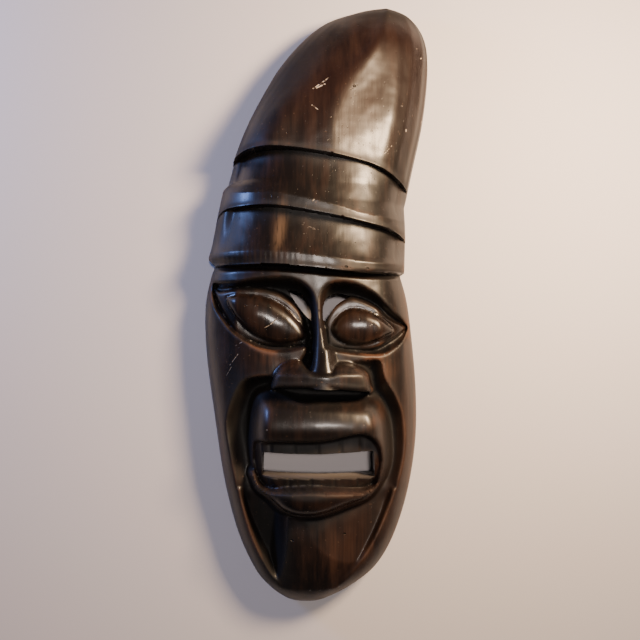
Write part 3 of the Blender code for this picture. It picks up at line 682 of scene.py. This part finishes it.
points = np.empty(3 * len(carved.vertices), np.float32)
carved.vertices.foreach_get("co", points)
points = points.reshape(-1, 3).astype(float)
x, y, z = points[:, 0] + middle[0], points[:, 1] + middle[1], points[:, 2]
surface = sampled(heights, x, y)
on_front = np.clip(1 - (surface - z - 0.006) / 0.006, 0, 1)  # 0 inside the openings and the back
edge = sampled(heights - blurred(heights, 0.003), x, y) / 0.0022
# painted shade: darker where the surface lies below its blurred mean, in hollows and creases
painted_shade = sampled(blurred(heights, 0.009) - heights, x, y) / 0.009
# painted shade: spots darkened where shade falls, in the channels beside the muzzle, under the nose and the
# lower lip, beside the chin's keel, over the teeth, and on the crown and the bands' left ends
painted_shade_places = (
    (0.95, (-46, -215), (16, 46), 12),
    (0.85, (-74, -100), (13, 50), 4),
    (0.7, (-56, -62), (22, 10), 0),
    (0.75, (66, -112), (7, 52), 0),
    (0.6, (-2, -160), (60, 6), 0),
    (0.9, (0, -70), (40, 7), 0),
    (0.85, (62, 298), (40, 17), 0),
    (0.75, (-4, -123), (46, 11), 0),
    (0.5, (-4, -147), (48, 6), 0),
    (0.35, (-4, -4), (5, 34), 0),
    (0.7, (-26, 232), (18, 66), -38),
    (0.4, (-70, 170), (16, 24), 0),
    (0.45, (-86, 88), (16, 24), 0),
)
for strength, *where in painted_shade_places:
    painted_shade = np.maximum(painted_shade, strength * spot(x, y, *where))
# painted shade in the grooves between the teeth
for dividers, middle_y in ((upper_teeth, -116), (lower_teeth, -151)):
    for divider in dividers:
        painted_shade = np.maximum(painted_shade, 0.9 * spot(x, y, (divider / share, middle_y), (1.3, 7)))
across = across_share(x, y)
rim = np.clip((np.abs(across) - 0.93) / 0.05, 0, 1) * (z > 0.004)
rubbed_and_sheen_places = (
    (0.4, (-4, 63), (17, 9), 0),
    (0.35, (-2, 186), (9, 16), -30),
    (0.4, (14, 210), (7, 16), -40),
    (0.45, (39, 250), (7, 15), -40),
    (0.25, (70, 276), (14, 10), 20),
    (0.5, (60, -60), (14, 46), 12),
    (0.55, (-96, -120), (6, 70), 6),
    (0.2, (90, -150), (7, 60), -6),
    (0.55, (-42, -38), (30, 9), -8),
    (0.3, (66, -46), (16, 12), 0),
    (0.5, (38, 98), (40, 5), -12),
    (0.3, (-30, 112), (30, 4), -4),
    (0.5, (28, -52), (14, 8), 0),
    (0.4, (2, -56), (12, 8), 0),
    # painted highlight: a lighter spot on the muzzle's right, where the lamp's highlight falls
    (0.5, (46, -94), (13, 8), 30),
    (0.5, (4, -222), (26, 40), 0),
    (0.3, (36, -212), (20, 34), 0),
    (0.3, (60, 10), (20, 8), -40),
)
rubbed_and_sheen = sum(strength * spot(x, y, *where) for strength, *where in rubbed_and_sheen_places)
polished_places = (
    ((-52, 0), (50, 28), -28),
    ((40, -7), (42, 24), -5),
    ((0, -168), (60, 12), 0),
    ((2, -30), (7, 30), 0),
)
polished = sum(spot(x, y, *where) for where in polished_places)
stripe = spot(x, y, (-36.5, 84), (4.4, 17), -8) ** 0.6
paint(carved, "edge", edge * on_front)
# painted shade in hollows and shaded places, and some inside the openings and on the back
paint(carved, "painted_shade", painted_shade * on_front + 0.35 * (1 - on_front))
paint(carved, "rubbed_and_sheen", rubbed_and_sheen * on_front + 0.1 * rim)
paint(carved, "polished", polished * on_front)
paint(carved, "stripe", stripe * on_front)
paint(carved, "chiselled", spot(x, y, (-62, 57), (46, 9)) * on_front)
slot_foot = mouth_middle[1] - 1.03 * mouth_slot[1] / 2  # the slot's lower wall gets painted light: painted pale, as if lit
# painted light: a pale band along the slot's lower wall
painted_lit_ledge = (np.abs(y - slot_foot) < 0.0014) & (np.abs(x - mouth_middle[0]) < mouth_slot[0] / 2 - 0.0005)
paint(carved, "hollow", (1 - on_front) * ~painted_lit_ledge)
paint(carved, "painted_lit_ledge", np.where(painted_lit_ledge, 0.35 + 0.65 * (1 - on_front), 0))
carved.polygons.foreach_set("use_smooth", np.ones(len(carved.polygons), bool))
carved.set_sharp_from_angle(angle=np.radians(62))


class Shade:
    """A socket in a material's node tree. Sums and products of it add its Math nodes."""

    def __init__(self, tree, socket=None):
        self.tree = tree
        self.socket = socket

    def node(self, kind, settings=None, inputs=None, output=0):
        """Adds a node: its settings first, then the values or links of its sockets."""
        made = self.tree.nodes.new(kind)
        for name, value in (settings or {}).items():
            setattr(made, name, value)
        for name, value in (inputs or {}).items():
            if isinstance(value, Shade):
                self.tree.links.new(value.socket, made.inputs[name])
            else:
                made.inputs[name].default_value = value
        return Shade(self.tree, made.outputs[output])

    def math(self, operation, first, second):
        """One Math node on two values."""
        return self.node("ShaderNodeMath", {"operation": operation}, {0: first, 1: second})

    def __add__(self, other):
        return self.math("ADD", self, other)

    def __sub__(self, other):
        return self.math("SUBTRACT", self, other)

    def __rsub__(self, other):
        return self.math("SUBTRACT", other, self)

    def __mul__(self, other):
        return self.math("MULTIPLY", self, other)

    __radd__ = __add__
    __rmul__ = __mul__

    def at_least(self, low):
        """This value, held at the low one where it is less."""
        return self.math("MAXIMUM", self, low)

    def at_most(self, high):
        """This value, held at the high one where it is more."""
        return self.math("MINIMUM", self, high)

    def vector(self, operation, other, output=0):
        """One Vector Math node on this socket and another value."""
        return self.node("ShaderNodeVectorMath", {"operation": operation}, {0: self, 1: other}, output)

    def between(self, low, high):
        """0 where the value is low, 1 where it is high, smooth and held there outside."""
        inputs = {"Value": self, "From Min": low, "From Max": high}
        return self.node("ShaderNodeMapRange", {"interpolation_type": "SMOOTHSTEP"}, inputs)

    def mix(self, first, second):
        """The first colour where this value is 0, the second where it is 1."""
        return self.node("ShaderNodeMix", {"data_type": "RGBA"}, {0: self, 6: first, 7: second}, 2)


def colour(red, green, blue):
    """A colour from the three numbers of a paint chart, 0 to 255, made linear."""
    chart = np.array((red, green, blue)) / 255
    linear = np.where(chart < 0.04045, chart / 12.92, ((chart + 0.055) / 1.055) ** 2.4)
    return (*linear.tolist(), 1.0)


def stained_wood():
    """Near-black stain over red-brown wood, in streaks along the grain.

    Grain and blotches are noises stretched along Y. Edges and rubbed places let the wood show,
    and one rubbed place on the muzzle is a painted highlight. Hollows and shaded places get
    painted shade and are made dull, the slot's lower wall gets painted light, and pits, chisel
    lines and gouge strokes are bumps.
    """
    material = bpy.data.materials.new("dark_stained_wood")
    material.use_nodes = True
    tree = material.node_tree
    shader = tree.nodes["Principled BSDF"]
    make = Shade(tree)
    place = make.node("ShaderNodeTexCoord", output=3)
    level = place.vector("MULTIPLY", (1, 1, 0))

    def mapped(scale):
        """Object coordinates, times a scale on each axis: less than 1 stretches a pattern."""
        return make.node("ShaderNodeMapping", None, {0: place, "Scale": scale})

    def noise(scale, size, detail=3.0, rough=0.55):
        """Noise on the scaled coordinates."""
        inputs = {"Vector": mapped(scale), "Scale": size, "Detail": detail, "Roughness": rough}
        return make.node("ShaderNodeTexNoise", None, inputs)

    def painted(name):
        """A number stored on the mesh."""
        return make.node("ShaderNodeAttribute", {"attribute_name": name}, None, 2)

    def scratch(start, end, width):
        """1 on the straight line between two places on the face, and 0 a width away from it."""
        start, end = plan(start, end) - middle
        run = end - start
        off = level.vector("SUBTRACT", (*start.tolist(), 0))
        t = off.vector("DOT_PRODUCT", (*run.tolist(), 0), output=1) * (1 / float(run @ run))
        t = t.at_least(0.0).at_most(1.0)
        foot = make.node("ShaderNodeCombineXYZ", None, {0: t * float(run[0]), 1: t * float(run[1])})
        return off.vector("DISTANCE", foot, output=1).between(width * share, 0.2 * width * share)

    edge, painted_shade, rubbed_and_sheen = painted("edge"), painted("painted_shade"), painted("rubbed_and_sheen")
    stripe, chiselled, hollow = painted("stripe"), painted("chiselled"), painted("hollow")
    painted_lit_ledge, polished = painted("painted_lit_ledge"), painted("polished")

    fibre = noise((1, 0.045, 0.35), 420, 4)
    streak = noise((1, 0.07, 0.5), 95, 3)
    blotch = noise((1, 0.4, 1), 17, 4, 0.6)
    cloud = noise((1, 0.6, 1), 6, 2)
    speck = noise((1, 1, 1), 260, 2, 0.7)

    nicks = 0  # pale scratches: two places and a width in shares, and a strength
    for start, end, width, strength in (
        ((-6.3, 212.0), (9.1, 222.9), 0.75, 1.0),
        ((-3.0, 212.5), (4.5, 216.0), 0.9, 1.0),
        ((-7.2, 195.7), (-1.8, 191.2), 0.6, 0.8),
        ((49.5, 159.6), (59.6, 153.5), 0.45, 0.5),
        ((59.6, 153.5), (66.5, 161.4), 0.45, 0.5),
        ((92.6, 258.6), (93.4, 259.6), 0.8, 0.9),
        ((96.5, 250.0), (97.0, 250.8), 0.7, 0.8),
        ((80.7, 177.2), (80.9, 178.4), 0.9, 0.8),
        ((98.6, 191.6), (99.0, 192.6), 0.7, 0.8),
        ((-6.8, 106.6), (-5.4, 108.8), 0.8, 0.8),
        ((-51.2, -7.0), (-46.6, -4.7), 0.5, 0.5),
        ((-46.6, -4.7), (-39.6, 1.6), 0.55, 0.6),
        ((-84.6, -42.3), (-76.4, -31.7), 0.4, 0.45),
        ((-88.0, -52.0), (-83.0, -44.0), 0.35, 0.35),
        ((-79.0, -24.0), (-72.0, -20.0), 0.35, 0.3),
        ((-9.0, -83.0), (-7.9, -89.7), 0.4, 0.5),
        ((-48.8, -99.8), (-47.8, -99.2), 0.8, 0.6),
        ((-13.2, -174.4), (-11.2, -174.0), 0.8, 0.6),
        ((-18.0, 88.0), (2.0, 82.0), 0.3, 0.35),
        ((-12.0, 84.5), (-4.0, 83.0), 0.3, 0.4),
        ((30.0, 196.0), (33.0, 216.0), 0.3, 0.3),
    ):
        nicks = scratch(start, end, width) * strength + nicks
    chips = 0  # small dark holes: a place and a width in shares
    for left, height, width in (
        (23.4, 48.2, 1.3), (43.2, 47.2, 1.0), (22.6, -201.8, 1.0), (-26.6, -206.5, 1.0), (31.0, 214.0, 1.2),
    ):
        chips = scratch((left, height), (left + 1, height), width) + chips
    nicks = nicks * speck.between(0.4, 0.56)

    warm = (streak * 0.55 + blotch * 0.6 + fibre * 0.25).between(0.58, 0.92)
    stain = warm.mix(colour(14, 10, 9), colour(42, 28, 21))
    stain = (cloud.between(0.5, 0.75) * 0.35).mix(stain, colour(46, 25, 19))
    # worn places and edges, and one painted highlight on the muzzle, let the red-brown wood show
    worn_and_sheen = rubbed_and_sheen * (streak * 1.2 + fibre * 0.5) + edge * blotch.between(0.35, 0.7) * 0.9
    stain = (worn_and_sheen.between(0.25, 0.95) * 0.7).mix(stain, colour(84, 56, 40))
    stain = (stripe * fibre.between(0.25, 0.6) * 0.75).mix(stain, colour(96, 76, 58))
    # painted shade: hollows and shaded places are mixed towards near-black
    stain = (painted_shade * 0.95).mix(stain, colour(5, 4, 5))
    stain = (speck.between(0.7, 0.76) * 0.4).mix(stain, colour(100, 78, 62))
    stain = (hollow * 0.5).mix(stain, colour(38, 26, 20))
    # painted light: the slot's lower wall is made pale, as if lit
    stain = (painted_lit_ledge * 0.8).mix(stain, colour(128, 120, 114))
    stain = nicks.mix(stain, colour(190, 176, 160))
    stain = chips.mix(stain, colour(12, 7, 5))
    tree.links.new(stain.socket, shader.inputs["Base Color"])

    roughness = 0.28 + streak * 0.1 + blotch.between(0.4, 0.8) * 0.1 + painted_shade * 0.4 + hollow * 0.3
    roughness = roughness + edge * 0.2 - polished * 0.15
    tree.links.new(roughness.socket, shader.inputs["Roughness"])
    shader.inputs["Specular IOR Level"].default_value = 0.42
    coat = 0.22 * (1 - painted_shade) * (1 - hollow) * (1 - edge) * (1 - polished * 0.7)
    tree.links.new(coat.socket, shader.inputs["Coat Weight"])
    shader.inputs["Coat Roughness"].default_value = 0.2

    strokes = noise((1, 0.33, 1), 34, 2)
    tools = noise((1, 0.2, 1), 120, 2)
    lines = make.node(
        "ShaderNodeTexWave",
        {"wave_type": "BANDS", "bands_direction": "X"},
        {"Vector": mapped((1, 0.05, 0.05)), "Scale": 62.0, "Distortion": 1.5, "Detail": 1.0},
        1,
    )
    cells = {"Vector": mapped((1, 0.6, 1)), "Scale": 330.0}
    pits = 0.22 - make.node("ShaderNodeTexVoronoi", {"feature": "F1"}, cells)
    pits = pits.at_least(0.0) * speck.between(0.52, 0.62)
    height = strokes * 0.55 + tools * 0.12 + fibre * 0.05 + lines * chiselled * 0.1 - pits * 0.9
    height = height - nicks * 0.25 - chips * 0.8
    bump = make.node("ShaderNodeBump", None, {"Height": height, "Distance": 0.0012, "Strength": 1.0})
    tree.links.new(bump.socket, shader.inputs["Normal"])
    return material


carved.materials.clear()
carved.materials.append(stained_wood())
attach(mask, "root")
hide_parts("carved_mask")

# The floor and the light
# A plain painted floor, a warm soft lamp high on the right, a cool weak one on the left and a
# weak one far overhead, over the openings. The camera looks straight down at the face.


def soft_lamp(name, place, aim, size, power, tint):
    """A square lamp at one place, turned so that its light leaves towards another."""
    lamp = bpy.data.lights.new(name, "AREA")
    lamp.shape = "SQUARE"
    lamp.size = size
    lamp.energy = power
    lamp.color = tint
    made = bpy.data.objects.new(name, lamp)
    bpy.context.scene.collection.objects.link(made)
    made.location = place
    away = np.array(aim, float) - np.array(place, float)
    turn = np.arctan2(away[1], away[0])
    tilt = np.arccos(-away[2] / np.linalg.norm(away))
    made.rotation_euler = (0.0, -tilt, turn)


half_floor = 2.5
floor_corners = half_floor * np.array([(-1, -1, 0), (1, -1, 0), (1, 1, 0), (-1, 1, 0)])
floor = mesh_object("floor", floor_corners, np.arange(4))
floor_paint = bpy.data.materials.new("pale_floor")
floor_paint.use_nodes = True
floor_shader = floor_paint.node_tree.nodes["Principled BSDF"]
floor_shader.inputs["Base Color"].default_value = colour(205, 200, 204)
floor_shader.inputs["Roughness"].default_value = 0.7
floor.data.materials.append(floor_paint)

soft_lamp("warm_key", (0.39, 0.25, 0.45), (0.0, 0.02, 0.04), 0.17, 14.0, (1.0, 0.71, 0.44))
soft_lamp("cool_fill", (-0.78, 0.36, 0.26), (0.0, 0.12, 0.05), 0.17, 5.0, (0.26, 0.42, 1.0))
soft_lamp("overhead", (0.1, 0.12, 1.5), (0.0, -0.1, 0.0), 0.12, 9.0, (1.0, 0.88, 0.8))

world = bpy.data.worlds.new("studio")
world.use_nodes = True
world.node_tree.nodes["Background"].inputs["Color"].default_value = (0.8, 0.85, 1.0, 1.0)
world.node_tree.nodes["Background"].inputs["Strength"].default_value = 0.045
bpy.context.scene.world = world

view_height = 0.726
view_focus = 700
image_side = 640
lens = bpy.data.cameras.new("camera")
lens.sensor_width = 36.0
lens.lens = lens.sensor_width * view_focus / image_side
camera = bpy.data.objects.new("camera", lens)
camera.location = (-middle[0], -middle[1], view_height)
bpy.context.scene.collection.objects.link(camera)
bpy.context.scene.camera = camera
